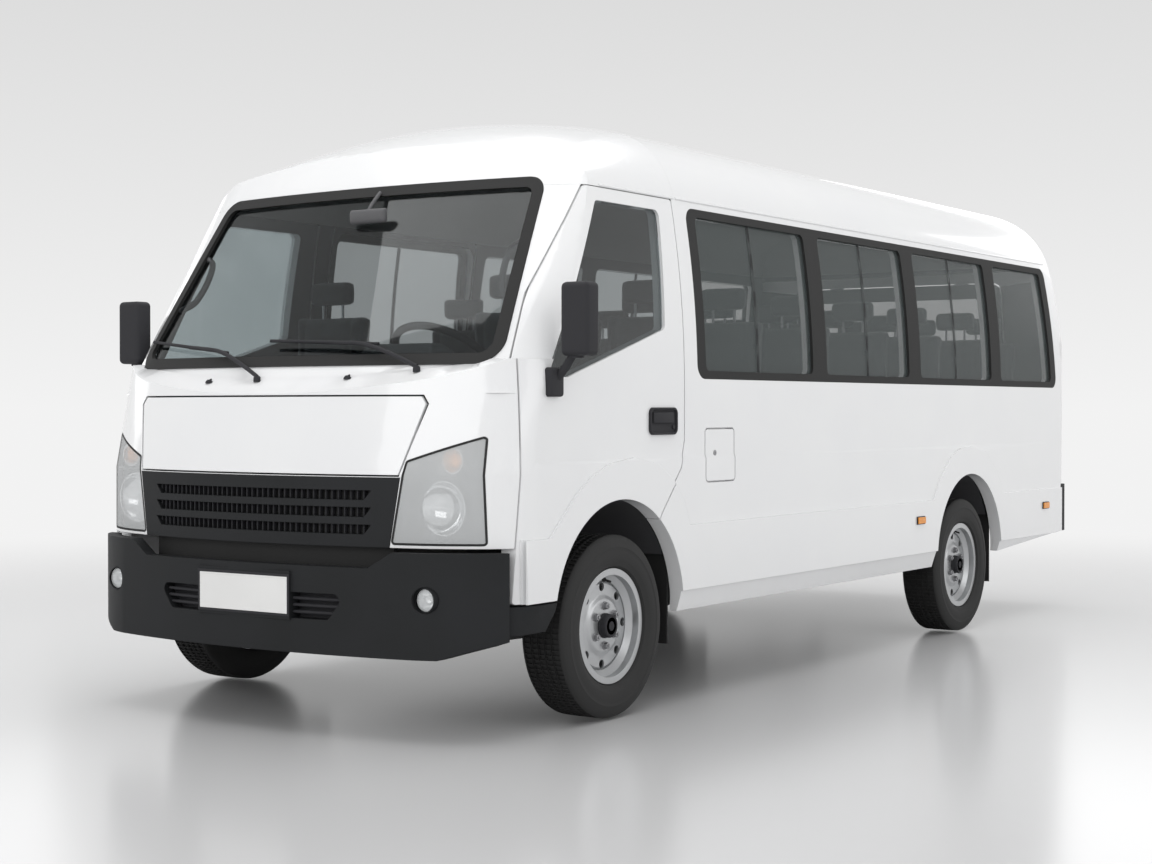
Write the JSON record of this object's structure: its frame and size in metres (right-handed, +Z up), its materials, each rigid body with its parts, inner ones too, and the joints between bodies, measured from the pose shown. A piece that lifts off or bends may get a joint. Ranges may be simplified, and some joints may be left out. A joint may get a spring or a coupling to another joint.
{
  "type": "minibus",
  "caption": "White semi-bonneted minibus with seats for the driver and about twenty passengers, hinged front doors, a sliding side door and a lifting tailgate.",
  "frame": {"origin": "on the ground at mid length and mid width", "axes": "+Z up, front faces -Y, the driver sits at +X"},
  "size_m": [2.412, 5.96, 2.3998],
  "materials": {
    "white_paint": "gloss",
    "black_paint": "satin",
    "silver_steel": "satin",
    "charcoal_plastic": "matte",
    "black_plastic": "matte",
    "black_rubber": "matte",
    "tyre_rubber": "matte",
    "tinted_glass": "gloss",
    "clear_lens": "gloss",
    "red_lens": "gloss",
    "amber_lens": "gloss",
    "grey_cloth": "matte",
    "grey_interior": "matte",
    "floor_covering": "matte",
    "plate_white": "satin",
    "bare_steel": "satin",
    "cast_metal": "matte"
  },
  "bodies": {
    "chassis": {"chassis_frame": "black_paint", "floor": "floor_covering", "front_axle": "black_paint", "rear_axle": "black_paint", "leaf_springs": "black_paint", "engine": "cast_metal", "drive_shaft": "bare_steel", "fuel_tank": "black_paint", "exhaust": "bare_steel", "body_front": "white_paint", "grille": "charcoal_plastic", "headlamps": "clear_lens", "windshield": "tinted_glass", "window_seals": "black_rubber", "side_glass": "tinted_glass", "roof_front": "white_paint", "roof_rear": "white_paint", "side_left": "white_paint", "side_right": "white_paint", "sliding_door": "white_paint", "rear_panel": "white_paint", "front_bumper": "charcoal_plastic", "rear_bumper": "charcoal_plastic", "fog_lamps": "clear_lens", "rear_lamps": "red_lens", "side_markers": "amber_lens", "number_plate": "plate_white", "wipers": "black_paint", "mud_flaps": "black_rubber", "dashboard": "grey_interior", "steering_wheel": "black_plastic", "seat_cushions": "grey_cloth", "seat_backs": "grey_cloth", "seat_frames": "black_paint"},
    "front_lid": {"front_lid": "white_paint"},
    "door_left": {"door_left": "white_paint", "door_glass_left": "tinted_glass", "mirror_left": "black_plastic"},
    "door_right": {"door_right": "white_paint", "door_glass_right": "tinted_glass", "mirror_right": "black_plastic"},
    "tailgate": {"tailgate": "white_paint", "tailgate_glass": "tinted_glass"},
    "fuel_flap": {"fuel_flap": "white_paint"},
    "knuckle_left": {"knuckle_left": "cast_metal"},
    "knuckle_right": {"knuckle_right": "cast_metal"},
    "tie_rod": {"tie_rod": "bare_steel"},
    "wheel_front_left": {"wheel_front_left": "silver_steel", "tyre_front_left": "tyre_rubber"},
    "wheel_front_right": {"wheel_front_right": "silver_steel", "tyre_front_right": "tyre_rubber"},
    "wheel_rear_left": {"wheel_rear_left": "silver_steel", "tyre_rear_left": "tyre_rubber"},
    "wheel_rear_right": {"wheel_rear_right": "silver_steel", "tyre_rear_right": "tyre_rubber"}
  },
  "joints": [
    {"name": "steer_left", "type": "hinge", "parent": "chassis", "child": "knuckle_left", "pos_m": [0.8, -2.04, 0.357], "axis": [0, 0, 1], "range_deg": [-32, 32]},
    {"name": "steer_right", "type": "hinge", "parent": "chassis", "child": "knuckle_right", "pos_m": [-0.8, -2.04, 0.357], "axis": [0, 0, 1], "range_deg": [-32, 32]},
    {"name": "tie_rod_swing", "type": "hinge", "parent": "knuckle_left", "child": "tie_rod", "pos_m": [0.8, -1.88, 0.2687], "axis": [0, 0, 1], "range_deg": [-32, 32]},
    {"name": "spin_front_left", "type": "hinge", "parent": "knuckle_left", "child": "wheel_front_left", "pos_m": [0.9325, -2.04, 0.357], "axis": [1, 0, 0], "continuous": true},
    {"name": "spin_front_right", "type": "hinge", "parent": "knuckle_right", "child": "wheel_front_right", "pos_m": [-0.9325, -2.04, 0.357], "axis": [1, 0, 0], "continuous": true},
    {"name": "spin_rear_left", "type": "hinge", "parent": "chassis", "child": "wheel_rear_left", "pos_m": [0.9325, 1.35, 0.357], "axis": [1, 0, 0], "continuous": true},
    {"name": "spin_rear_right", "type": "hinge", "parent": "chassis", "child": "wheel_rear_right", "pos_m": [-0.9325, 1.35, 0.357], "axis": [1, 0, 0], "continuous": true},
    {"name": "door_left_swing", "type": "hinge", "parent": "chassis", "child": "door_left", "pos_m": [1.038, -2.672, 1], "axis": [0, 0, -1], "range_deg": [0, 68]},
    {"name": "door_right_swing", "type": "hinge", "parent": "chassis", "child": "door_right", "pos_m": [-1.038, -2.672, 1], "axis": [0, 0, 1], "range_deg": [0, 68]},
    {"name": "front_lid_lift", "type": "hinge", "parent": "chassis", "child": "front_lid", "pos_m": [0, -2.886, 1.236], "axis": [-1, 0, 0], "range_deg": [0, 55]},
    {"name": "tailgate_lift", "type": "hinge", "parent": "chassis", "child": "tailgate", "pos_m": [0, 2.808, 1.94], "axis": [1, 0, 0], "range_deg": [0, 85]},
    {"name": "fuel_flap_swing", "type": "hinge", "parent": "chassis", "child": "fuel_flap", "pos_m": [1.045, -1.376, 0.994], "axis": [0, 0, -1], "range_deg": [0, 100]}
  ],
  "couplings": [
    {"joint": "steer_right", "follows": "steer_left", "ratio": 1},
    {"joint": "tie_rod_swing", "follows": "steer_left", "ratio": -1}
  ]
}
